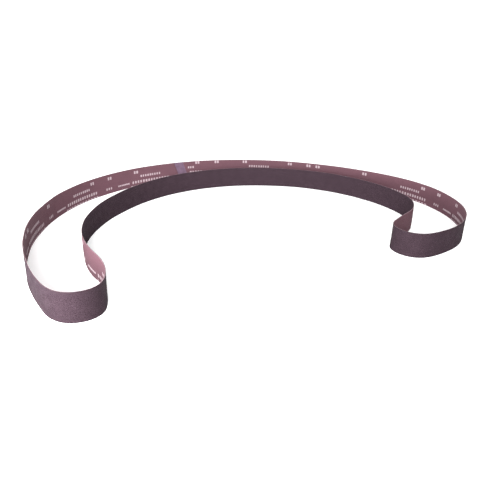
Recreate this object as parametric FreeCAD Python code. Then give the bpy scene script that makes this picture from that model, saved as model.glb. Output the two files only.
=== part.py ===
"""Endless coated-abrasive belt for a belt grinder, standing on its edge in a loose horseshoe.

The belt is one strip of cloth whose two ends meet in a slanted butt joint, held by a tape on
the running face.  The abrasive side faces out and is a stack of thin layers: make coat, grain
and size coat.  Millimetres, +Z up.  The origin is at the middle of the belt's footprint, on
the surface that its lower edge stands on.
"""
import FreeCAD, Part
import math
import os

Vector = FreeCAD.Vector

# Driving dimensions, mm and degrees
belt_width = 50.8
belt_length = 3810.0            # round the running face
cloth_thickness = 0.6
make_coat_thickness = 0.1
grain_thickness = 0.3
size_coat_thickness = 0.1
joint_angle = 70.0              # between the joint line and the belt's edge
joint_gap = 0.3                 # across the joint line
tape_width = 25.0               # across the joint line
tape_thickness = 0.1
adhesive_thickness = 0.05
skive_depth = 0.1               # ground off the running face to seat the tape
start_heading = 28.7            # direction of the belt at its joint, anticlockwise from +X

# The loop as it lies, clockwise from above, starting at the joint: tangent arcs, each with its
# share of the belt's length in per cent and its turn in degrees, positive to the left.  The
# two stretches with a share of None take what is left to close the loop.
back_right = [(9.4, -43), (None, -25), (7.4, -56), (6.2, -59)]
right_lobe = [(3.0, -150), (2.0, -6), (4.0, 62)]
front_strand = [(9.0, 61), (10.2, 61), (7.4, 34), (5.8, 41)]
left_lobe = [(2.6, -31), (2.4, -126), (0.8, -22)]
back_left = [(11.0, -43), (None, -58)]
stretches = back_right + right_lobe + front_strand + left_lobe + back_left


def heading_vector(angle):
    return Vector(math.cos(angle), math.sin(angle), 0)


def outward(angle):
    """Unit normal to the left of the heading, which is the abrasive side."""
    return Vector(-math.sin(angle), math.cos(angle), 0)


def chord(length, turn, angle):
    """Step from one end of an arc to the other, given its length, turn and first heading."""
    radius = length / turn
    return outward(angle) * radius - outward(angle + turn) * radius


def loop_lengths(turns, headings):
    """Lengths of all stretches, with the two open ones solved so that the loop closes."""
    steps = [chord(1.0, turn, angle) for turn, angle in zip(turns, headings)]
    open_ones = [i for i, (share, turn) in enumerate(stretches) if share is None]
    rest = Vector(0, 0, 0)
    for step, (share, turn) in zip(steps, stretches):
        if share is not None:
            rest = rest + step * share
    first, second = (steps[i] for i in open_ones)
    area = first.x * second.y - first.y * second.x
    shares = [share for share, turn in stretches]
    shares[open_ones[0]] = (rest.y * second.x - rest.x * second.y) / area
    shares[open_ones[1]] = (rest.x * first.y - rest.y * first.x) / area
    scale = belt_length / sum(shares)
    return [share * scale for share in shares]


def loop_arcs():
    """Running-face arcs as (start point, heading, length, turn), all before centring."""
    turns = [math.radians(turn) for share, turn in stretches]
    headings = [math.radians(start_heading) + sum(turns[:i]) for i in range(len(turns))]
    lengths = loop_lengths(turns, headings)
    arcs = []
    point = Vector(0, 0, 0)
    for angle, length, turn in zip(headings, lengths, turns):
        arcs.append((point, angle, length, turn))
        point = point + chord(length, turn, angle)
    return arcs


def offset_wire(arcs, offset):
    """Closed line at a distance outward from the running face."""
    edges = []
    for point, angle, length, turn in arcs:
        radius = length / turn
        centre = point + outward(angle) * radius
        ends = [centre - outward(angle + turn * part) * (radius - offset) for part in (0, 0.5, 1)]
        edges.append(Part.Arc(*ends).toShape())
    return Part.Wire(edges)


def layer(arcs, inner, outer):
    """Full-width band between two distances outward from the running face."""
    faces = [Part.Face(offset_wire(arcs, offset)) for offset in (inner, outer)]
    solids = [face.extrude(Vector(0, 0, belt_width)) for face in faces]
    return solids[1].cut(solids[0])


def slanted_block(width):
    """Block through the joint, as wide as given across the joint line, past all faces."""
    angle = math.radians(start_heading)
    along = heading_vector(angle)
    slope = math.radians(joint_angle)
    half = width / math.sin(slope) / 2
    margin = 1.0
    reach = 10.0
    corners = []
    for height, side in ((-margin, -1), (-margin, 1), (belt_width + margin, 1),
                         (belt_width + margin, -1)):
        slant = (belt_width / 2 - height) / math.tan(slope)
        corners.append(along * (slant + side * half) + Vector(0, 0, height))
    outline = Part.makePolygon(corners + corners[:1])
    outline.translate(outward(angle) * -reach)
    return Part.Face(outline).extrude(outward(angle) * (2 * reach))


def joint_band(arcs, inner, outer):
    """Piece of a layer that lies under the tape's outline."""
    return layer(arcs, inner, outer).common(slanted_block(tape_width))


def cloth_backing(arcs, gap):
    recess = joint_band(arcs, -skive_depth, skive_depth)
    return layer(arcs, 0, cloth_thickness).cut(recess).cut(gap)


def coat(arcs, gap, below, thickness):
    return layer(arcs, below, below + thickness).cut(gap)


def belt_pieces():
    arcs = loop_arcs()
    gap = slanted_block(joint_gap)
    tape_back = skive_depth - adhesive_thickness
    grain_start = cloth_thickness + make_coat_thickness
    grain_end = grain_start + grain_thickness
    pieces = {
        "cloth_backing": cloth_backing(arcs, gap),
        "make_coat": coat(arcs, gap, cloth_thickness, make_coat_thickness),
        "abrasive_grain": coat(arcs, gap, grain_start, grain_thickness),
        "size_coat": coat(arcs, gap, grain_end, size_coat_thickness),
        "splice_adhesive": joint_band(arcs, tape_back, skive_depth),
        "splice_tape": joint_band(arcs, tape_back - tape_thickness, tape_back),
    }
    box = Part.Compound(list(pieces.values())).optimalBoundingBox(False)
    centring = Vector(-box.Center.x, -box.Center.y, 0)
    for shape in pieces.values():
        shape.translate(centring)
    return pieces


os.makedirs("parts", exist_ok=True)
for name, shape in belt_pieces().items():
    shape.exportStep("parts/" + name + ".step")
    print(name, "solids", len(shape.Solids), "valid", shape.isValid(), "mm3", round(shape.Volume, 1))
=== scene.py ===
"""Looks of an endless abrasive belt for a belt grinder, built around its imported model.

The belt stands on its edge in a loose horseshoe, abrasive side out.  Everything is laid out
along one closed line, where the cloth meets the coats, which is read from the model.  A place
on the belt is (along, up, out): metres along the belt from the middle of its joint, metres
above its lower edge, and metres outward from that line.
"""
import math

import bmesh
import bpy
import numpy as np
from bpy.props import FloatProperty, FloatVectorProperty, IntProperty, PointerProperty
from mathutils import Matrix, Vector


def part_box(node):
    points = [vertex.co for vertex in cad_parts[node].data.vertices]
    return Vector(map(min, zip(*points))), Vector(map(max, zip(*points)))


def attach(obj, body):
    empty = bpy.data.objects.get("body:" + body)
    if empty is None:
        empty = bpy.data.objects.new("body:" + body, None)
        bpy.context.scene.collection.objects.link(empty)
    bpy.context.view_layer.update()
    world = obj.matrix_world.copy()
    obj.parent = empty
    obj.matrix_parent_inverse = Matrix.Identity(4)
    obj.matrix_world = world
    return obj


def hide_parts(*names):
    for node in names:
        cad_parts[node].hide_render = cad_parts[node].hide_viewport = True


bl_info = {
    "name": "Abrasive Belt",
    "version": (1, 0, 0),
    "blender": (4, 5, 0),
    "location": "View3D > Sidebar > Abrasive Belt",
    "description": "Builds a standing abrasive belt and its studio around the packed model",
    "category": "Object",
}

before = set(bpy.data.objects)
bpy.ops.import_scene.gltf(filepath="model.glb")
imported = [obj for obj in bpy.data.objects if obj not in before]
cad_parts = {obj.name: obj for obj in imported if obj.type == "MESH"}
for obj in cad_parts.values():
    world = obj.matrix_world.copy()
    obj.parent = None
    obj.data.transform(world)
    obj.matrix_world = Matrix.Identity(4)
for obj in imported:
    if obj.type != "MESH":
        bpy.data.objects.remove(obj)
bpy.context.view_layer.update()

MM = 0.001
STRIP_MAP = "Strip"
BAKE_MAP = "OFBake"
BODY = "root"


def node_top(name):
    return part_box(name)[1]


def coat_rise(name):
    """How far a coat's outer face stands out from the cloth, read from the model's boxes."""
    return node_top(name)[0] - node_top("cloth_backing")[0]


BELT_WIDTH = node_top("cloth_backing")[2]
MAKE_TOP = coat_rise("make_coat")
GRAIN_TOP = coat_rise("abrasive_grain")
SIZE_TOP = coat_rise("size_coat")


# ---------------------------------------------------------------- sizes and colours


def length_prop(name, default, description):
    return FloatProperty(name=name, default=default, description=description, subtype="DISTANCE",
                         unit="LENGTH", precision=5)


def angle_prop(name, degrees, description):
    return FloatProperty(name=name, default=math.radians(degrees), description=description,
                         subtype="ANGLE", unit="ROTATION")


def colour_prop(name, default, description):
    return FloatVectorProperty(name=name, default=default, description=description,
                               subtype="COLOR", size=3, min=0, max=1)


class BeltSizes(bpy.types.PropertyGroup):
    """Sizes of the belt that its looks need."""

    cloth_thickness: length_prop("Cloth", 0.6 * MM, "Thickness of the cloth backing")
    joint_angle: angle_prop("Joint Angle", 70, "Between the joint line and the belt's edge")
    joint_gap: length_prop("Joint Gap", 0.3 * MM, "Gap between the cut ends, across the joint")
    tape_width: length_prop("Tape Width", 25 * MM, "Splice tape, across the joint line")
    tape_thickness: length_prop("Tape", 0.1 * MM, "Thickness of the splice tape")
    adhesive_thickness: length_prop("Adhesive", 0.05 * MM, "Adhesive film under the tape")
    skive_depth: length_prop("Skive", 0.1 * MM, "Depth ground off the cloth to seat the tape")
    wave_height: length_prop("Waves", 0.35 * MM, "Height of the slow waves in a belt at rest")
    cupping: length_prop("Cupping", 0.4 * MM, "How far the edges curl to the abrasive side")
    column: length_prop("Column", 4 * MM, "Length of one mesh column along the belt")
    fibres: IntProperty(name="Fibres", default=900, min=1, description="Loose fibres at the slit edges")
    fibre_length: length_prop("Fibre Length", 1.4 * MM, "Longest loose fibre")
    fibre_radius: length_prop("Fibre Radius", 0.05 * MM, "Radius of a fibre where it leaves the cloth")


class PrintSizes(bpy.types.PropertyGroup):
    """The printer's marks on the running face."""

    repeat: length_prop("Repeat", 225 * MM, "Distance between groups on the first half of the belt")
    late_repeat: length_prop("Late Repeat", 236 * MM, "Distance between groups on the second half")
    first: length_prop("First", 9 * MM, "From the joint on to the middle of the first group")
    last: length_prop("Last", 96 * MM, "From the middle of the last group on to the joint")
    rise: length_prop("Rise", 7 * MM, "How much higher the marks stand just after the joint")
    settle: length_prop("Settle", 700 * MM, "Distance over which that rise runs out")
    ink: length_prop("Ink", 0.02 * MM, "How far the ink stands off the cloth")


class BeltColours(bpy.types.PropertyGroup):
    """Colours of the belt's materials."""

    cloth: colour_prop("Cloth", (0.0886, 0.0439, 0.0549), "Dyed and filled cloth")
    cloth_dark: colour_prop("Cloth Valleys", (0.0510, 0.0243, 0.0322), "Between the yarns")
    fibre: colour_prop("Fibre", (0.34, 0.24, 0.26), "Cut cotton at the slit edges")
    ink: colour_prop("Ink", (0.30, 0.235, 0.255), "Pale print")
    resin: colour_prop("Resin", (0.0170, 0.0086, 0.0116), "Resin between the grains")
    grain_dark: colour_prop("Dark Grain", (0.0094, 0.0061, 0.0079), "Darkest grains")
    # Palest grain colour, also used for the painted glints on the sparse light grains.
    grain_pale_and_glint: colour_prop("Light Grain", (0.0630, 0.0407, 0.0532), "Lightest grains")
    tape: colour_prop("Tape", (0.0835, 0.0525, 0.0790), "Splice film over the cloth")
    adhesive: colour_prop("Adhesive", (0.20, 0.16, 0.17), "Splice adhesive")


class StudioSettings(bpy.types.PropertyGroup):
    """Camera, lights and floor."""

    camera_place: FloatVectorProperty(name="Camera", default=(-0.0380, -1.0501, 0.3946), subtype="XYZ",
                                      unit="LENGTH", description="Where the camera stands")
    camera_pitch: angle_prop("Pitch", 22.47, "How far the camera looks down")
    camera_roll: angle_prop("Roll", 1.87, "Turn about the line of sight")
    camera_lens: FloatProperty(name="Lens", default=37.48, unit="CAMERA",
                               description="Focal length for a 36 mm sensor")
    key_power: FloatProperty(name="Key", default=20.0, unit="POWER", description="Light at the left")
    fill_power: FloatProperty(name="Fill", default=104.0, unit="POWER", description="Light in front")
    rear_power: FloatProperty(name="Rear", default=24.0, unit="POWER", description="Light behind")
    sky: FloatProperty(name="Sky", default=1.12, description="Strength of the even white surround")
    floor_colour: colour_prop("Floor", (0.94, 0.94, 0.94), "Plain pale floor")
    floor_glow: FloatProperty(name="Floor Glow", default=0.24, description="Light up through the floor")


# ---------------------------------------------------------------- the line of the belt


def lower_outline(node):
    """Outline of a node's underside as one ordered loop of points seen from above."""
    work = bmesh.new()
    work.from_mesh(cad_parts[node].data)
    bmesh.ops.remove_doubles(work, verts=work.verts, dist=1e-6)
    under = {f for f in work.faces if f.normal.z < -0.9}
    rim = [e for e in work.edges if sum(f in under for f in e.link_faces) == 1]
    neighbours = {}
    for edge in rim:
        here, there = edge.verts
        neighbours.setdefault(here, []).append(there)
        neighbours.setdefault(there, []).append(here)
    start = rim[0].verts[0]
    loop = [start]
    before, here = None, start
    while True:
        onward = next(v for v in neighbours[here] if v is not before)
        if onward is start:
            break
        loop.append(onward)
        before, here = here, onward
    points = np.array([(v.co.x, v.co.y) for v in loop])
    work.free()
    return points


def split_at_corners(loop):
    """The loop's smooth runs, cut where it turns by more than a third of a right angle."""
    into = loop - np.roll(loop, 1, axis=0)
    out = np.roll(loop, -1, axis=0) - loop
    turn = np.arctan2(into[:, 0] * out[:, 1] - into[:, 1] * out[:, 0], (into * out).sum(1))
    corners = np.flatnonzero(np.abs(turn) > math.radians(30))
    runs = []
    for first, last in zip(corners, np.roll(corners, -1)):
        count = (last - first) % len(loop)
        runs.append(loop[(first + np.arange(count + 1)) % len(loop)])
    return runs


def run_length(points):
    return float(np.hypot(*np.diff(points, axis=0).T).sum())


class BeltLine:
    """The closed line where the cloth meets the coats, by distance from the joint."""

    step = 1 * MM
    smoothing = 5 * MM

    def __init__(self, sizes):
        runs = sorted(split_at_corners(lower_outline("make_coat")), key=run_length)
        inner = runs[-2]
        if self.signed_area(inner) > 0:
            inner = inner[::-1]
        places = self.even_points(inner)
        places = self.smoothed(places)
        around = np.vstack([places, places[:1]])
        self.distance = np.r_[0, np.cumsum(np.hypot(*np.diff(around, axis=0).T))]
        self.length = float(self.distance[-1])
        ahead = np.roll(places, -1, axis=0) - np.roll(places, 1, axis=0)
        ahead /= np.hypot(*ahead.T)[:, None]
        normals = np.stack([-ahead[:, 1], ahead[:, 0]], 1)
        self.places = around
        self.normals = np.vstack([normals, normals[:1]])
        slope = math.tan(sizes.joint_angle)
        self.first = BELT_WIDTH / 2 / slope + sizes.joint_gap / 2 / math.sin(sizes.joint_angle)
        self.waves = self.wave_terms(sizes)
        self.cupping = sizes.cupping

    @staticmethod
    def signed_area(points):
        after = np.roll(points, -1, axis=0)
        return float((points[:, 0] * after[:, 1] - points[:, 1] * after[:, 0]).sum()) / 2

    def even_points(self, chain):
        """Evenly spaced points on a smooth closed curve through the chain's own points."""
        after = np.roll(chain, -1, axis=0)
        gaps = np.hypot(*(after - chain).T)
        ahead = (after - chain) / gaps[:, None]
        behind = np.roll(ahead, 1, axis=0)
        back = np.roll(gaps, 1)[:, None]
        tangent = (ahead * back + behind * gaps[:, None]) / (back + gaps[:, None])
        tangent /= np.hypot(*tangent.T)[:, None]
        pieces = []
        for place, end, near, far, gap in zip(chain, after, tangent, np.roll(tangent, -1, axis=0), gaps):
            count = max(1, round(gap / self.step))
            t = (np.arange(count) / count)[:, None]
            pieces.append((2 * t**3 - 3 * t**2 + 1) * place + (t**3 - 2 * t**2 + t) * near * gap
                          + (3 * t**2 - 2 * t**3) * end + (t**3 - t**2) * far * gap)
        return np.vstack(pieces)

    def smoothed(self, places):
        """The curve with its bends eased, as a stiff strip eases them."""
        reach = int(4 * self.smoothing / self.step)
        weights = np.exp(-0.5 * (np.arange(-reach, reach + 1) * self.step / self.smoothing) ** 2)
        weights /= weights.sum()
        padded = np.vstack([places[-reach:], places, places[:reach]])
        return np.stack([np.convolve(axis, weights, mode="valid") for axis in padded.T], 1)

    def wave_terms(self, sizes):
        """Slow waves round the loop as (waves per loop, tilt across the belt, phase, height)."""
        rng = np.random.default_rng(7)
        terms = []
        slowest = 17
        for waves in (slowest, 26, 38, 55, 71):
            tilt, phase, share = rng.uniform(-3, 3), rng.uniform(0, math.tau), rng.uniform(0.5, 1)
            terms.append((waves, tilt, phase, sizes.wave_height * share * slowest / waves))
        return terms

    def at(self, along, up, out):
        """Points in space for arrays of distance along, height up and distance out."""
        along, up, out = np.broadcast_arrays(along, up, out)
        s = np.mod(along - self.first, self.length)
        x, y = (np.interp(s, self.distance, axis) for axis in self.places.T)
        nx, ny = (np.interp(s, self.distance, axis) for axis in self.normals.T)
        across = up / BELT_WIDTH - 0.5
        shift = out + self.cupping * (4 * across**2 - 1 / 3)
        for waves, tilt, phase, height in self.waves:
            shift = shift + height * np.sin(math.tau * waves * along / self.length + tilt * across + phase)
        return np.stack([x + nx * shift, y + ny * shift, up], -1)


def joint_slant(up, sizes):
    """How far along the belt the joint line lies at a given height."""
    return (BELT_WIDTH / 2 - up) / math.tan(sizes.joint_angle)


# ---------------------------------------------------------------- meshes


class BakeRows:
    """Lays the long strip out in stacked rows on the bake map, one band per side of the strip."""

    rows = 8
    margin = 0.012

    def __init__(self, line):
        self.row_length = line.length / self.rows

    def corners(self, along, share, band):
        """Map places of face corners, from distances along and shares across a band (low, high)."""
        row = np.clip(np.floor(along.mean(1) / self.row_length), 0, self.rows - 1)[:, None]
        x = self.margin + (1 - 2 * self.margin) * (along - row * self.row_length) / self.row_length
        y = (row + band[0] + (band[1] - band[0]) * share) / self.rows
        return np.stack([x, y], -1)


# Bands of one row, as shares of its height: the side that shows gets most of it.
SHOWN_BAND = (0.13, 0.97)
HIDDEN_BAND = (0.01, 0.04)
UPPER_BAND = (0.05, 0.08)
LOWER_BAND = (0.09, 0.12)


def new_piece(name, points, faces, strip_uv, bake_uv, materials, slots=None, sharp=None):
    """Smooth mesh object in the row frame, with its two maps and its materials."""
    mesh = bpy.data.meshes.new(name)
    mesh.from_pydata(points.tolist(), [], [list(face) for face in faces])
    for material in materials:
        mesh.materials.append(material)
    if slots is not None:
        mesh.polygons.foreach_set("material_index", slots.astype(np.int32))
    mesh.shade_smooth()
    for map_name, places in ((STRIP_MAP, strip_uv), (BAKE_MAP, bake_uv)):
        layer = mesh.uv_layers.new(name=map_name)
        layer.uv.foreach_set("vector", places.astype(np.float32).ravel())
    if sharp is not None:
        marked = mesh.attributes.new("sharp_edge", "BOOLEAN", "EDGE")
        ends = np.empty(2 * len(mesh.edges), dtype=np.int32)
        mesh.edges.foreach_get("vertices", ends)
        marked.data.foreach_set("value", sharp(ends.reshape(-1, 2)))
    piece = bpy.data.objects.new(name, mesh)
    bpy.context.scene.collection.objects.link(piece)
    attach(piece, BODY)
    return piece


def slab(name, line, sizes, along, inner, outer, shown, materials):
    """Closed strip between two distances out, as (inner, outer) arrays by column.

    along holds the columns' places at mid height, materials are (face, cut edge), and shown
    says which side gets the larger share of the bake map.
    """
    edge_row = 0.6 * MM
    up = np.unique(np.r_[np.linspace(0, BELT_WIDTH, 13), edge_row, BELT_WIDTH - edge_row])
    rows = len(up)
    columns = len(along)
    fade = slant_share(along, line, sizes)
    ring_up = np.r_[up, up[::-1]]
    places = along[:, None] + joint_slant(ring_up, sizes)[None] * fade[:, None]
    out = np.concatenate([np.repeat(outer[:, None], rows, 1), np.repeat(inner[:, None], rows, 1)], 1)
    points = line.at(places, ring_up[None], out).reshape(-1, 3)

    ring = 2 * rows
    index = np.arange(columns * ring).reshape(columns, ring)
    after = np.roll(index, -1, axis=1)
    sides = np.stack([index[:-1], index[1:], after[1:], after[:-1]], -1)
    thick = float(np.abs(outer - inner).mean())
    low = np.r_[up[:-1], BELT_WIDTH, up[:0:-1], 0]
    high = np.r_[up[1:], BELT_WIDTH + thick, up[-2::-1], -thick]
    kind = np.r_[np.zeros(rows - 1), 1, np.full(rows - 1, 2), 3].astype(int)
    bands = [SHOWN_BAND if shown == "outer" else HIDDEN_BAND, UPPER_BAND,
             SHOWN_BAND if shown == "inner" else HIDDEN_BAND, LOWER_BAND]
    shares = [(low / BELT_WIDTH, high / BELT_WIDTH), (low * 0, low * 0 + 1),
              (low / BELT_WIDTH, high / BELT_WIDTH), (low * 0, low * 0 + 1)]
    u = places.reshape(-1)[sides]
    v = np.broadcast_to(np.stack([low, low, high, high], -1), sides.shape)
    strip = np.stack([u, v], -1).reshape(-1, 2)
    rows_map = BakeRows(line)
    bake = np.empty(sides.shape + (2,))
    for side, (band, (near, far)) in enumerate(zip(bands, shares)):
        here = kind == side
        share = np.broadcast_to(np.stack([near, near, far, far], -1)[here], (columns - 1, here.sum(), 4))
        flat = rows_map.corners(u[:, here].reshape(-1, 4), share.reshape(-1, 4), band)
        bake[:, here] = flat.reshape(columns - 1, here.sum(), 4, 2)

    caps, cap_strip, cap_bake = [], [], []
    for column, turned in ((0, False), (columns - 1, True)):
        front, back = index[column, :rows], index[column, rows:][::-1]
        quads = np.stack([front[:-1], front[1:], back[1:], back[:-1]], -1)
        depth = np.array([0, 0, thick, thick])[None] + places[column, 0]
        height = np.stack([up[:-1], up[1:], up[1:], up[:-1]], -1)
        flat = np.stack([np.broadcast_to(depth, height.shape), height], -1)
        corner = np.stack([0.2 + 0.3 * turned + 0.2 * height / BELT_WIDTH,
                           0.9972 + 0.002 * np.broadcast_to([0, 0, 1, 1], height.shape)], -1)
        order = [3, 2, 1, 0] if turned else [0, 1, 2, 3]
        caps.append(quads[:, order])
        cap_strip.append(flat[:, order])
        cap_bake.append(corner[:, order])
    faces = np.vstack([sides.reshape(-1, 4)] + caps)
    strip = np.vstack([strip.reshape(-1, 4, 2)] + cap_strip).reshape(-1, 2)
    bake = np.vstack([bake.reshape(-1, 4, 2)] + cap_bake).reshape(-1, 2)
    side_slots = np.broadcast_to((kind % 2)[None], sides.shape[:2]).ravel()
    slots = np.r_[side_slots, np.ones(2 * (rows - 1))]
    rim = np.isin(np.arange(ring), (0, rows - 1, rows, ring - 1))

    def sharp(ends):
        in_column, on_ring = ends // ring, ends % ring
        lengthwise = (in_column[:, 0] != in_column[:, 1]) & rim[on_ring].all(1)
        at_end = (in_column == 0).all(1) | (in_column == columns - 1).all(1)
        return lengthwise | at_end

    return new_piece(name, points, faces, strip, bake, materials, slots, sharp)


def slant_share(along, line, sizes):
    """How far a column follows the joint line's slant: fully near the joint, and then less."""
    full = sizes.tape_width
    gone = 4 * sizes.tape_width
    from_joint = np.minimum(np.abs(along), np.abs(line.length - along))
    return np.clip((gone - from_joint) / (gone - full), 0, 1)


def strip_columns(line, sizes):
    """Columns from one cut end to the other, closer together at the joint and the tape."""
    slope = math.sin(sizes.joint_angle)
    end = sizes.joint_gap / 2 / slope
    tape = sizes.tape_width / 2 / slope
    step = 0.05 * MM
    near = np.r_[np.linspace(end, tape - step, 5), tape + step]
    start = tape + sizes.column
    count = round((line.length - 2 * start) / sizes.column)
    middle = np.linspace(start, line.length - start, count)
    return np.r_[near, middle, line.length - near[::-1]]


def under_tape(along, line, sizes):
    tape = sizes.tape_width / 2 / math.sin(sizes.joint_angle)
    return np.minimum(along, line.length - along) < tape


# ---------------------------------------------------------------- shader building blocks


class Shader:
    """Short forms for adding nodes to a shader tree."""

    def __init__(self, tree):
        self.tree = tree

    def add(self, kind, inputs=(), **settings):
        prefix = "Node" if kind in ("GroupInput", "GroupOutput") else "ShaderNode"
        node = self.tree.nodes.new(prefix + kind)
        for name, value in settings.items():
            setattr(node, name, value)
        for key, value in dict(inputs).items():
            if isinstance(value, bpy.types.NodeSocket):
                self.tree.links.new(value, node.inputs[key])
            else:
                node.inputs[key].default_value = value
        return node

    def math(self, operation, *values, clamp=False):
        node = self.add("Math", dict(enumerate(values)), operation=operation, use_clamp=clamp)
        return node.outputs[0]

    def scale(self, vector, size):
        """vector divided by one size on all axes."""
        node = self.add("VectorMath", {0: vector}, operation="DIVIDE")
        combined = self.add("CombineXYZ", {"X": size, "Y": size, "Z": 1.0})
        self.tree.links.new(combined.outputs[0], node.inputs[1])
        return node.outputs[0]

    def stretch(self, vector, x, y):
        node = self.add("VectorMath", {0: vector, 1: (x, y, 1.0)}, operation="MULTIPLY")
        return node.outputs[0]

    def noise(self, vector, scale=1.0, detail=2.0, roughness=0.5):
        node = self.add("TexNoise", {"Vector": vector, "Scale": scale, "Detail": detail,
                                     "Roughness": roughness}, noise_dimensions="2D")
        return node.outputs["Fac"]

    def band(self, value, low, high, start=0.0, end=1.0):
        """value stretched from low..high to start..end, and held there."""
        node = self.add("MapRange", {"Value": value, "From Min": low, "From Max": high,
                                     "To Min": start, "To Max": end})
        return node.outputs[0]

    def mix(self, share, first, second, blend="MIX"):
        node = self.add("Mix", {"Factor": share}, data_type="RGBA", blend_type=blend)
        for socket, value in ((node.inputs[6], first), (node.inputs[7], second)):
            if isinstance(value, bpy.types.NodeSocket):
                self.tree.links.new(value, socket)
            else:
                socket.default_value = (*value, 1.0)
        return node.outputs[2]

    def group(self, tree, inputs):
        node = self.tree.nodes.new("ShaderNodeGroup")
        node.node_tree = tree
        for key, value in inputs.items():
            if isinstance(value, bpy.types.NodeSocket):
                self.tree.links.new(value, node.inputs[key])
            else:
                node.inputs[key].default_value = value
        return node.outputs

    def bump(self, height, depth, strength=1.0, normal=None):
        inputs = {"Height": height, "Distance": depth, "Strength": strength}
        if normal is not None:
            inputs["Normal"] = normal
        return self.add("Bump", inputs).outputs[0]


def new_group(name, inputs, outputs):
    """Shader node group with named float and vector sockets, its builder and both ends."""
    tree = bpy.data.node_groups.new(name, "ShaderNodeTree")
    kinds = {"Vector": "NodeSocketVector"}
    for socket, default in inputs.items():
        made = tree.interface.new_socket(name=socket, in_out="INPUT",
                                         socket_type=kinds.get(socket, "NodeSocketFloat"))
        if default is not None:
            made.default_value = default
    for socket in outputs:
        tree.interface.new_socket(name=socket, in_out="OUTPUT", socket_type="NodeSocketFloat")
    build = Shader(tree)
    return tree, build, build.add("GroupInput").outputs, build.add("GroupOutput")


def weave_group():
    """Twill of warp and weft yarns: its height, and the gaps between yarns."""
    tree, build, given, out = new_group(
        "Woven Cloth", {"Vector": None, "Yarn Pitch": 0.5 * MM, "Slub": 0.3}, ("Height", "Gap"))
    drift = build.noise(build.stretch(given["Vector"], 40, 900), detail=1.0)
    cross = build.noise(build.stretch(given["Vector"], 900, 40), detail=1.0)
    parts = build.add("SeparateXYZ", {0: build.scale(given["Vector"], given["Yarn Pitch"])}).outputs
    warp = build.math("ADD", parts["Y"], build.math("MULTIPLY", drift, given["Slub"]))
    weft = build.math("ADD", parts["X"], build.math("MULTIPLY", cross, given["Slub"]))
    warp_round = build.math("ABSOLUTE", build.math("SINE", build.math("MULTIPLY", warp, math.pi)))
    weft_round = build.math("ABSOLUTE", build.math("SINE", build.math("MULTIPLY", weft, math.pi)))
    diagonal = build.math("SINE", build.math("MULTIPLY", build.math("ADD", warp, weft), math.tau / 3))
    over = build.band(diagonal, -0.35, 0.15)
    warp_height = build.math("MULTIPLY", warp_round, over)
    weft_height = build.math("MULTIPLY", weft_round, build.math("SUBTRACT", 1.0, over))
    height = build.math("ADD", warp_height, weft_height)
    build.tree.links.new(height, out.inputs["Height"])
    build.tree.links.new(build.band(height, 0.45, 0.1), out.inputs["Gap"])
    return tree


def grain_group():
    """Packed mineral grains: their height, a value for each grain, and the resin between."""
    tree, build, given, out = new_group(
        "Mineral Grain", {"Vector": None, "Grain Size": 0.32 * MM}, ("Height", "Grain", "Resin"))
    place = build.scale(given["Vector"], given["Grain Size"])
    cells = build.add("TexVoronoi", {"Vector": place, "Randomness": 1.0}, voronoi_dimensions="2D")
    tint = build.add("SeparateColor", {0: cells.outputs["Color"]}).outputs
    near = cells.outputs["Distance"]
    facet = build.noise(place, 2.3, 1.0)
    height = build.math("MULTIPLY", build.band(near, 0.62, 0.05), build.band(tint[0], 0, 1, 0.45, 1.0))
    height = build.math("ADD", height, build.math("MULTIPLY", facet, 0.25))
    build.tree.links.new(height, out.inputs["Height"])
    build.tree.links.new(tint[1], out.inputs["Grain"])
    build.tree.links.new(build.band(near, 0.42, 0.66), out.inputs["Resin"])
    return tree


def wear_group():
    """Masks for rubbed edges, blotches and long streaks, from places on the strip."""
    tree, build, given, out = new_group(
        "Handling Wear", {"Vector": None, "Edge Reach": 0.9 * MM, "Blotch Size": 22 * MM},
        ("Edge", "Blotch", "Streak"))
    up = build.add("SeparateXYZ", {0: given["Vector"]}).outputs["Y"]
    from_middle = build.math("ABSOLUTE", build.math("SUBTRACT", up, BELT_WIDTH / 2))
    inset = build.math("SUBTRACT", BELT_WIDTH / 2, from_middle)
    ragged = build.noise(given["Vector"], 420, 3.0, 0.65)
    reach = build.math("MULTIPLY", given["Edge Reach"], build.band(ragged, 0.3, 0.7, 0.1, 1.6))
    edge = build.math("DIVIDE", build.math("SUBTRACT", reach, inset), reach, clamp=True)
    blotch = build.noise(build.scale(given["Vector"], given["Blotch Size"]), 1.0, 3.0, 0.55)
    streak = build.noise(build.stretch(given["Vector"], 6, 420), 1.0, 3.0, 0.6)
    for name, value in (("Edge", edge), ("Blotch", build.band(blotch, 0.3, 0.7)),
                        ("Streak", build.band(streak, 0.3, 0.7))):
        build.tree.links.new(value, out.inputs[name])
    return tree


GROUPS = {"Woven Cloth": weave_group, "Mineral Grain": grain_group, "Handling Wear": wear_group}


def shared_group(name):
    return bpy.data.node_groups.get(name) or GROUPS[name]()


def new_material(name):
    """Material with a Principled shader, its builder, the shader and the strip's own places."""
    material = bpy.data.materials.new(name)
    material.use_nodes = True
    material.node_tree.nodes.clear()
    build = Shader(material.node_tree)
    surface = build.add("BsdfPrincipled")
    output = build.add("OutputMaterial")
    build.tree.links.new(surface.outputs[0], output.inputs["Surface"])
    place = build.add("UVMap", uv_map=STRIP_MAP).outputs[0]
    return material, build, surface, place


def finish_surface(build, surface, colour, roughness, normal=None, **plain):
    """Links what changes over the surface, and sets what doesn't on the shader itself."""
    build.tree.links.new(colour, surface.inputs["Base Color"])
    if isinstance(roughness, bpy.types.NodeSocket):
        build.tree.links.new(roughness, surface.inputs["Roughness"])
    else:
        surface.inputs["Roughness"].default_value = roughness
    if normal is not None:
        build.tree.links.new(normal, surface.inputs["Normal"])
    for name, value in plain.items():
        surface.inputs[name.replace("_", " ")].default_value = value


# ---------------------------------------------------------------- materials of the belt


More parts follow.
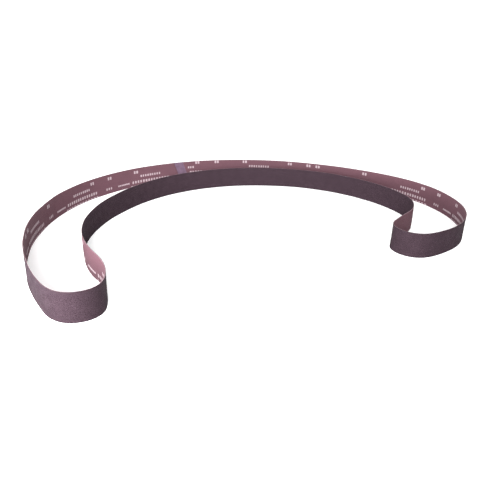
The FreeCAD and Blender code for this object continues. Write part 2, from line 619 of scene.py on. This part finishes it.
def cloth_colour(build, place, colours):
    """The dyed cloth's colour and its weave and wear, used bare and under the ink."""
    weave = build.group(shared_group("Woven Cloth"), {"Vector": place, "Yarn Pitch": 0.5 * MM})
    wear = build.group(shared_group("Handling Wear"), {"Vector": place})
    base = build.mix(build.math("MULTIPLY", weave["Gap"], 0.75), colours.cloth, colours.cloth_dark)
    lighter = [min(1, 1.22 * part) for part in colours.cloth]
    base = build.mix(build.math("MULTIPLY", wear["Streak"], 0.25), base, lighter)
    darker = [0.72 * part for part in colours.cloth]
    base = build.mix(build.math("MULTIPLY", wear["Blotch"], 0.22), base, darker)
    base = build.mix(build.math("MULTIPLY", wear["Edge"], 0.6), base, colours.fibre)
    return base, weave, wear


def cloth_material(colours):
    material, build, surface, place = new_material("dyed_cloth")
    base, weave, wear = cloth_colour(build, place, colours)
    rough = build.band(wear["Streak"], 0, 1, 0.68, 0.82)
    finish_surface(build, surface, base, rough, build.bump(weave["Height"], 0.07 * MM),
                   Specular_IOR_Level=0.05)
    return material


def cut_cloth_material(colours):
    material, build, surface, place = new_material("cut_cloth")
    ends = build.noise(build.stretch(place, 2100, 900), 1.0, 2.0, 0.6)
    base = build.mix(build.band(ends, 0.35, 0.62), colours.cloth, colours.fibre)
    finish_surface(build, surface, base, 0.92, build.bump(ends, 0.15 * MM), Specular_IOR_Level=0.05)
    return material


def ink_material(colours):
    """Pale ink that the yarns show through, thin where it is rubbed."""
    material, build, surface, place = new_material("pale_ink")
    base, weave, wear = cloth_colour(build, place, colours)
    rubbed = build.noise(place, 1400, 3.0, 0.7)
    cover = build.math("SUBTRACT", build.band(rubbed, 0.28, 0.46, 0.35, 1.0),
                       build.math("MULTIPLY", weave["Gap"], 0.35), clamp=True)
    finish_surface(build, surface, build.mix(cover, base, colours.ink), 0.7,
                   build.bump(weave["Height"], 0.06 * MM), Specular_IOR_Level=0.15)
    return material


def abrasive_material(colours, name, depth, wet):
    """Resin-bound grain with painted glints among its paler grains; wet is how much resin lies over it,
    from 0 to 1.
    """
    material, build, surface, place = new_material(name)
    grain = build.group(shared_group("Mineral Grain"), {"Vector": place})
    coarse = build.group(shared_group("Mineral Grain"), {"Vector": place, "Grain Size": 0.9 * MM})
    wear = build.group(shared_group("Handling Wear"), {"Vector": place, "Blotch Size": 16 * MM})
    clumps = build.noise(place, 520, 2.0, 0.7)
    # Sparse light grains: partly the grains' own paler tone, partly painted glints standing in for light
    # off their facets.
    grain_tone_and_glint = build.math("POWER", grain["Grain"], 3.0)
    base = build.mix(grain_tone_and_glint, colours.grain_dark, colours.grain_pale_and_glint)
    base = build.mix(build.math("MULTIPLY", grain["Resin"], 0.35 + 0.35 * wet), base, colours.resin)
    base = build.mix(build.band(clumps, 0.35, 0.75, 0.0, 0.34), base, colours.grain_pale_and_glint)
    base = build.mix(build.math("MULTIPLY", wear["Blotch"], 0.16), base, colours.grain_dark)
    base = build.mix(build.math("MULTIPLY", wear["Edge"], 0.25), base, colours.grain_pale_and_glint)
    rough = build.band(build.math("ADD", grain["Grain"], wear["Blotch"]), 0.2, 1.6, 0.62, 0.85)
    height = build.math("ADD", grain["Height"], build.math("MULTIPLY", coarse["Height"], 0.5))
    finish_surface(build, surface, base, rough, build.bump(height, depth), Specular_IOR_Level=0.02)
    return material


def resin_material(colours):
    material, build, surface, place = new_material("bond_resin")
    flow = build.noise(place, 1600, 3.0)
    darker = [0.6 * part for part in colours.resin]
    base = build.mix(flow, colours.resin, darker)
    rough = build.band(flow, 0.3, 0.7, 0.4, 0.6)
    finish_surface(build, surface, base, rough, build.bump(flow, 0.05 * MM), Specular_IOR_Level=0.5)
    return material


def tape_material(colours):
    """Film over the joint, with the cloth's yarns pressed into it."""
    material, build, surface, place = new_material("splice_film")
    weave = build.group(shared_group("Woven Cloth"), {"Vector": place, "Yarn Pitch": 0.5 * MM})
    wear = build.group(shared_group("Handling Wear"), {"Vector": place, "Blotch Size": 9 * MM})
    paler = [min(1, 1.35 * part) for part in colours.tape]
    base = build.mix(build.math("MULTIPLY", wear["Blotch"], 0.6), colours.tape, paler)
    base = build.mix(build.math("MULTIPLY", weave["Gap"], 0.25), base, colours.cloth_dark)
    finish_surface(build, surface, base, build.band(wear["Blotch"], 0, 1, 0.28, 0.5),
                   build.bump(weave["Height"], 0.03 * MM), Specular_IOR_Level=0.2)
    return material


def fibre_material(colours):
    material, build, surface, place = new_material("loose_fibre")
    tint = build.noise(place, 300, 1.0)
    finish_surface(build, surface, build.mix(tint, colours.fibre, colours.cloth), 0.9,
                   build.bump(tint, 0.02 * MM), Specular_IOR_Level=0.05)
    return material


def adhesive_material(colours):
    material, build, surface, place = new_material("splice_glue")
    flow = build.noise(place, 700, 3.0)
    darker = [0.8 * part for part in colours.adhesive]
    finish_surface(build, surface, build.mix(flow, colours.adhesive, darker), 0.45,
                   build.bump(flow, 0.02 * MM), Specular_IOR_Level=0.5)
    return material


# ---------------------------------------------------------------- operators


LINE_STORE = {}


def belt_line():
    """The belt's line, read from the model once."""
    if "line" not in LINE_STORE:
        LINE_STORE["line"] = BeltLine(bpy.context.scene.belt_sizes)
    return LINE_STORE["line"]


class BELT_OT_cloth(bpy.types.Operator):
    """Builds the cloth backing, from one cut end round to the other"""

    bl_idname = "belt.cloth"
    bl_label = "Cloth Backing"

    def execute(self, context):
        sizes, colours = context.scene.belt_sizes, context.scene.belt_colours
        line = belt_line()
        along = strip_columns(line, sizes)
        inner = np.where(under_tape(along, line, sizes), sizes.skive_depth, 0) - sizes.cloth_thickness
        piece = slab("cloth", line, sizes, along, inner, np.zeros(len(along)), "inner",
                     (cloth_material(colours), cut_cloth_material(colours)))
        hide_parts("cloth_backing")
        return {"FINISHED"}


class BELT_OT_coats(bpy.types.Operator):
    """Builds the make coat, the grain and the size coat, each on the one below"""

    bl_idname = "belt.coats"
    bl_label = "Abrasive Coats"

    def execute(self, context):
        sizes, colours = context.scene.belt_sizes, context.scene.belt_colours
        line = belt_line()
        along = strip_columns(line, sizes)
        resin = resin_material(colours)
        grain = abrasive_material(colours, "mineral_grain", 0.20 * MM, 0.1)
        face = abrasive_material(colours, "size_coated_grain", 0.16 * MM, 0.5)
        level = np.ones(len(along))
        for name, node, slot, below, top, face_look, edge_look in (
            ("make_layer", "make_coat", "make_resin", 0, MAKE_TOP, resin, resin),
            ("grain_layer", "abrasive_grain", "grain", MAKE_TOP, GRAIN_TOP, grain, grain),
            ("size_layer", "size_coat", "size_resin", GRAIN_TOP, SIZE_TOP, face, resin),
        ):
            piece = slab(name, line, sizes, along, below * level, top * level, "outer",
                         (face_look, edge_look))
            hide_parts(node)
        return {"FINISHED"}


class BELT_OT_splice(bpy.types.Operator):
    """Lays the adhesive and the tape over the joint, in the ground band of the running face"""

    bl_idname = "belt.splice"
    bl_label = "Splice"

    def execute(self, context):
        sizes, colours = context.scene.belt_sizes, context.scene.belt_colours
        line = belt_line()
        half = sizes.tape_width / 2 / math.sin(sizes.joint_angle)
        along = np.linspace(-half, half, 15)
        level = np.ones(len(along))
        seat = sizes.skive_depth - sizes.cloth_thickness
        tape_top = seat - sizes.adhesive_thickness
        glue = adhesive_material(colours)
        film = tape_material(colours)
        for name, node, slot, inner, outer, look in (
            ("splice_glue", "splice_adhesive", "adhesive", tape_top, seat, glue),
            ("splice_film", "splice_tape", "tape", tape_top - sizes.tape_thickness, tape_top, film),
        ):
            piece = slab(name, line, sizes, along, inner * level, outer * level, "inner", (look, look))
            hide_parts(node)
        return {"FINISHED"}


# Lines of one group of marks, in millimetres from its middle, each cut into bars that fill
# about a share of it: (from, to, low, high, bars, share).
LINES = (
    (-31, 31, 24.3, 30.2, 9, 0.60),
    (-56, 56, 9.3, 16.2, 14, 0.60),
    (84, 106, 9.8, 15.8, 3, 0.55),
    (123, 160, 10.4, 14.6, 7, 0.85),
    (-61, 61, -3.5, 3.8, 12, 0.60),
)
# Middles of the pairs of blocks, in millimetres from every third group's middle.
PAIRS = (40, 98, 182, 316, 371, 398, 536)
PAIR = (-7, 7, 36.0, 43.5, 2, 0.70)
GROUPS_PER_CYCLE = 3
# Stretches left without print, as (from, to) in millimetres from the joint.
UNPRINTED = ((420, 500), (1230, 1420))


def mark_groups(line, marks):
    """Every group of marks as (middle, stretch, whether its cycle of pairs starts there)."""
    groups = []
    half = line.length / 2
    for number in range(-GROUPS_PER_CYCLE, int(half / marks.repeat) + 1):
        groups.append((marks.first + number * marks.repeat, 1.0, number % GROUPS_PER_CYCLE == 0))
    for number in range(int(half / marks.late_repeat) + GROUPS_PER_CYCLE):
        middle = line.length - marks.last - number * marks.late_repeat
        groups.append((middle, marks.late_repeat / marks.repeat, number % GROUPS_PER_CYCLE == 1))
    return groups


def print_bars(line, sizes, marks):
    """Every bar of the print as (from, to, low, high) in metres, clipped to the belt."""
    rng = np.random.default_rng(11)
    half = line.length / 2
    clear_of_joint = sizes.tape_width / 2 / math.sin(sizes.joint_angle) + 6 * MM
    margin = 0.4 * MM
    bars = []
    for middle, stretch, starts_cycle in mark_groups(line, marks):
        blocks = list(LINES)
        if starts_cycle:
            blocks += [(place + PAIR[0], place + PAIR[1], *PAIR[2:]) for place in PAIRS]
        for start, end, low, high, count, filling in blocks:
            begin_block = middle + start * stretch * MM
            on_its_half = (begin_block < half) == (stretch == 1.0)
            edges = np.linspace(start, end, count + 1) * stretch * MM
            share = filling + rng.uniform(-0.08, 0.08, count)
            for left, right, filled in zip(edges[:-1], edges[1:], share):
                begin = middle + left
                finish = begin + (right - left) * filled
                rise = marks.rise * max(0, 1 - begin / marks.settle)
                bottom = max(low * MM + rise, margin)
                top = min(high * MM + rise, BELT_WIDTH - margin)
                clear = begin > clear_of_joint and finish < line.length - clear_of_joint
                printed = not any(near * MM < begin < far * MM for near, far in UNPRINTED)
                if clear and printed and on_its_half and top - bottom > 1 * MM:
                    bars.append((begin, finish, bottom, top))
    return bars


class BELT_OT_print(bpy.types.Operator):
    """Prints plain bars on the running face, in the places where such a belt is marked"""

    bl_idname = "belt.print"
    bl_label = "Print"

    def execute(self, context):
        sizes, colours = context.scene.belt_sizes, context.scene.belt_colours
        line = belt_line()
        rows_map = BakeRows(line)
        across = np.array([0, 0.12, 0.5, 0.88, 1])
        grid = len(across)
        corner = np.outer(np.abs(across - 0.5) == 0.5, np.abs(across - 0.5) == 0.5)
        inward = np.sign(0.5 - across)
        nip_share = 0.07
        points, faces, strips, bakes = [], [], [], []
        for left, right, low, high in print_bars(line, sizes, context.scene.belt_print):
            along = left + (right - left) * np.repeat(across[:, None], grid, 1)
            up = low + (high - low) * np.repeat(across[None], grid, 0)
            nip = nip_share * min(right - left, high - low)
            along += nip * corner * inward[:, None]
            up += nip * corner * inward[None]
            out = -sizes.cloth_thickness - context.scene.belt_print.ink
            first = grid**2 * len(points)
            points.append(line.at(along, up, out).reshape(-1, 3))
            index = first + np.arange(grid**2).reshape(grid, grid)
            quads = np.stack([index[:-1, :-1], index[:-1, 1:], index[1:, 1:], index[1:, :-1]], -1)
            faces.append(quads.reshape(-1, 4))
            local = quads.reshape(-1, 4) - first
            u, v = along.ravel()[local], up.ravel()[local]
            strips.append(np.stack([u, v], -1))
            bakes.append(rows_map.corners(u, v / BELT_WIDTH, SHOWN_BAND))
        piece = new_piece("print_marks", np.vstack(points), np.vstack(faces),
                          np.vstack(strips).reshape(-1, 2), np.vstack(bakes).reshape(-1, 2),
                          (ink_material(colours),))
        return {"FINISHED"}


class BELT_OT_fray(bpy.types.Operator):
    """Frays the cloth's slit edges with short loose fibres"""

    bl_idname = "belt.fray"
    bl_label = "Loose Fibres"

    def execute(self, context):
        sizes = context.scene.belt_sizes
        line = belt_line()
        rng = np.random.default_rng(5)
        count = sizes.fibres
        rings, sides = 3, 3
        clear = sizes.tape_width
        along = rng.uniform(clear, line.length - clear, count)
        upper = rng.random(count) < 0.6
        length = sizes.fibre_length * rng.uniform(0.2, 1, count) ** 2
        lean = rng.uniform(-1, 1, count)
        depth = rng.uniform(0.15, 0.9, count) * -sizes.cloth_thickness
        share = np.linspace(0, 1, rings)[None, :, None]
        turn = (np.arange(sides) / sides * math.tau)[None, None]
        radius = sizes.fibre_radius * (1 - 0.75 * share)
        rise = np.where(upper, 1.0, 0.0)[:, None, None]
        base = np.where(upper, BELT_WIDTH - sizes.fibre_radius, 3 * sizes.fibre_radius)[:, None, None]
        reach = length[:, None, None] * share
        bend = lean[:, None, None]
        s = along[:, None, None] + reach * bend * (0.3 + 0.7 * share) + radius * np.cos(turn)
        up = base + reach * rise * (1 - 0.4 * share * np.abs(bend))
        inward = reach * (0.3 + 0.9 * (1 - rise)) * (0.5 + 0.5 * share)
        out = depth[:, None, None] - inward + radius * np.sin(turn)
        points = line.at(s, up, out).reshape(-1, 3)
        index = np.arange(count * rings * sides).reshape(count, rings, sides)
        after = np.roll(index, -1, axis=2)
        walls = np.stack([index[:, :-1], after[:, :-1], after[:, 1:], index[:, 1:]], -1)
        ends = np.stack([index[:, 0, 0], index[:, 0, 2], index[:, 0, 1], index[:, 0, 1]], -1)
        tips = np.stack([index[:, -1, 0], index[:, -1, 1], index[:, -1, 2], index[:, -1, 2]], -1)
        faces = [list(face) for face in walls.reshape(-1, 4)]
        faces += [list(face[:3]) for face in np.vstack([ends, tips])]
        corner = np.concatenate([np.array(face) for face in faces])
        owner = corner // (rings * sides)
        cells = math.ceil(math.sqrt(count))
        local = corner % (rings * sides)
        cell_place = np.stack([0.2 + 0.2 * (local % sides), 0.2 + 0.25 * (local // sides)], -1)
        bake = (np.stack([owner % cells, owner // cells], -1) + cell_place) / cells
        strip = np.stack([np.broadcast_to(s, (count, rings, sides)).ravel()[corner],
                          np.broadcast_to(up, (count, rings, sides)).ravel()[corner]], -1)
        piece = new_piece("loose_fibres", points, faces, strip, bake,
                          (fibre_material(context.scene.belt_colours),))
        return {"FINISHED"}


class BELT_OT_stage(bpy.types.Operator):
    """Sets up the floor, the lights, the even surround and the camera"""

    bl_idname = "belt.stage"
    bl_label = "Studio"

    def execute(self, context):
        studio = context.scene.belt_studio
        self.make_floor(studio)
        self.make_world(studio)
        self.area_light("key", (-0.66, -0.81, 0.23), (-0.40, -0.30, 0.03), studio.key_power, (0.3, 0.3))
        self.area_light("fill", (-0.15, -2.15, 0.75), (0.0, 0.20, 0.0), studio.fill_power, (1.0, 0.6))
        self.area_light("rear", (0.1, 1.70, 0.09), (0.0, 0.30, 0.03), studio.rear_power, (1.6, 0.12))
        self.make_camera(studio)
        context.scene.view_settings.view_transform = "Standard"
        return {"FINISHED"}

    @staticmethod
    def make_floor(studio):
        mesh = bpy.data.meshes.new("floor")
        half = 6.0
        mesh.from_pydata([(-half, -half, 0), (half, -half, 0), (half, half, 0), (-half, half, 0)], [],
                         [(0, 1, 2, 3)])
        floor = bpy.data.objects.new("floor", mesh)
        bpy.context.scene.collection.objects.link(floor)
        material, _, surface, _ = new_material("floor_paper")
        surface.inputs["Base Color"].default_value = (*studio.floor_colour, 1.0)
        surface.inputs["Roughness"].default_value = 0.9
        surface.inputs["Emission Strength"].default_value = studio.floor_glow
        surface.inputs["Specular IOR Level"].default_value = 0.1
        mesh.materials.append(material)

    @staticmethod
    def make_world(studio):
        world = bpy.data.worlds.new("surround")
        world.use_nodes = True
        background = world.node_tree.nodes["Background"]
        background.inputs["Color"].default_value = (1.0, 1.0, 1.0, 1.0)
        background.inputs["Strength"].default_value = studio.sky
        bpy.context.scene.world = world

    @staticmethod
    def area_light(name, place, target, power, size):
        lamp = bpy.data.lights.new(name, "AREA")
        lamp.energy = power
        lamp.shape = "RECTANGLE"
        lamp.size, lamp.size_y = size
        light = bpy.data.objects.new(name, lamp)
        light.location = place
        aim = Vector(target) - Vector(place)
        light.rotation_euler = aim.to_track_quat("-Z", "Y").to_euler()
        light.visible_camera = False
        bpy.context.scene.collection.objects.link(light)

    @staticmethod
    def make_camera(studio):
        camera = bpy.data.objects.new("camera", bpy.data.cameras.new("camera"))
        camera.data.sensor_width = 36.0
        camera.data.lens = studio.camera_lens
        upright = Matrix.Rotation(math.radians(90) - studio.camera_pitch, 4, "X")
        rolled = upright @ Matrix.Rotation(studio.camera_roll, 4, "Z")
        camera.matrix_world = Matrix.Translation(studio.camera_place) @ rolled
        bpy.context.scene.collection.objects.link(camera)
        bpy.context.scene.camera = camera


class BELT_PT_panel(bpy.types.Panel):
    """Lists the belt's settings and the steps that build it"""

    bl_idname = "BELT_PT_panel"
    bl_label = "Abrasive Belt"
    bl_space_type = "VIEW_3D"
    bl_region_type = "UI"
    bl_category = "Abrasive Belt"

    def draw(self, context):
        layout = self.layout
        for operator in STEPS:
            layout.operator(operator.bl_idname)
        for holder in SETTINGS:
            box = layout.box()
            settings = getattr(context.scene, holder)
            for name in settings.bl_rna.properties.keys():
                if name not in ("rna_type", "name"):
                    box.prop(settings, name)


SETTINGS = {"belt_sizes": BeltSizes, "belt_print": PrintSizes, "belt_colours": BeltColours,
            "belt_studio": StudioSettings}
STEPS = (BELT_OT_cloth, BELT_OT_coats, BELT_OT_splice, BELT_OT_print, BELT_OT_fray, BELT_OT_stage)
CLASSES = (*SETTINGS.values(), *STEPS, BELT_PT_panel)


def register():
    for cls in CLASSES:
        bpy.utils.register_class(cls)
    for name, cls in SETTINGS.items():
        setattr(bpy.types.Scene, name, PointerProperty(type=cls))


def unregister():
    for name in SETTINGS:
        delattr(bpy.types.Scene, name)
    for cls in reversed(CLASSES):
        bpy.utils.unregister_class(cls)


def main():
    register()
    bpy.ops.belt.cloth()
    bpy.ops.belt.coats()
    bpy.ops.belt.splice()
    bpy.ops.belt.print()
    bpy.ops.belt.fray()
    bpy.ops.belt.stage()


if __name__ == "__main__":
    main()
